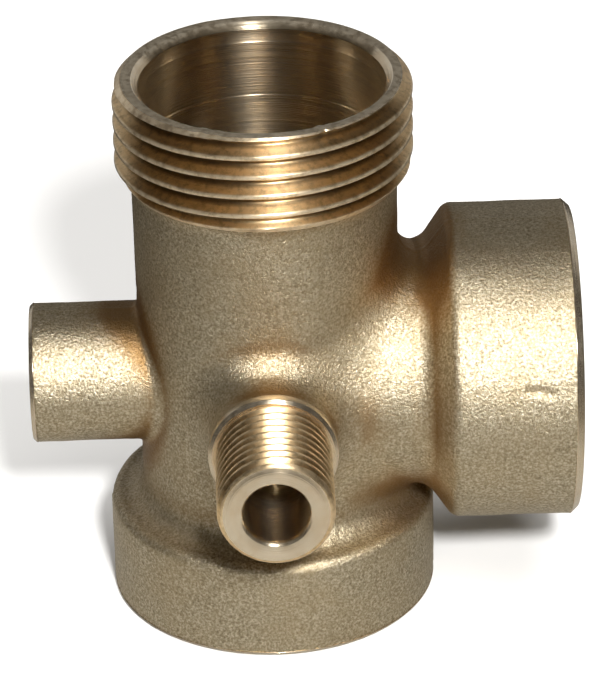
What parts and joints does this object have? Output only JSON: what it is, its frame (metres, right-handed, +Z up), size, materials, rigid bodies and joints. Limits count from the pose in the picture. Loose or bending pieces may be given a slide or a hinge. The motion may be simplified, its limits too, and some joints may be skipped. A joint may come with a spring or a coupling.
{
  "type": "pipe manifold fitting",
  "caption": "Cast brass pump connector: a vertical tube with a large male thread on top, large female ports below and at one side, a small gauge boss and a small threaded nipple.",
  "frame": {"origin": "centre of the bottom face, on the barrel's axis", "axes": "+Z up the barrel towards the male thread, +X out of the side socket, -X out of the gauge boss, -Y out of the switch nipple"},
  "size_m": [0.0615, 0.0516, 0.064],
  "materials": {
    "cast_brass": "rough shot-blasted casting skin",
    "turned_brass": "bright lathe-turned metal"
  },
  "bodies": {
    "root": {"barrel": "cast_brass", "top_male_thread": "turned_brass", "bottom_socket": "cast_brass", "side_neck": "cast_brass", "side_socket": "cast_brass", "gauge_boss": "cast_brass", "switch_boss": "cast_brass", "switch_nipple": "turned_brass"}
  },
  "joints": []
}
